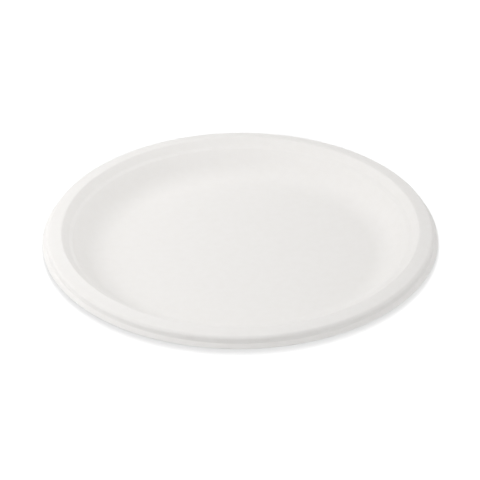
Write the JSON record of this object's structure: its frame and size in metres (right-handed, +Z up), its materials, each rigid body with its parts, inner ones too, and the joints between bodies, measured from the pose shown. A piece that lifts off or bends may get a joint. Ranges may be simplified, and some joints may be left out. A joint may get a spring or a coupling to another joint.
{
  "type": "plate",
  "caption": "Shallow round plate pressed from pulp in one piece, with a flat floor, a curved wall, a stacking step, a gently sloping rim and a lip that flares out to the trimmed edge.",
  "frame": {"origin": "middle of the underside, on the surface that the plate stands on", "axes": "+Z up along the plate's axis of symmetry, out of the dish; X and Y in the table's plane"},
  "size_m": [0.26, 0.26, 0.02],
  "materials": {
    "pulp": "matte"
  },
  "bodies": {
    "root": {"plate": "pulp"}
  },
  "joints": []
}
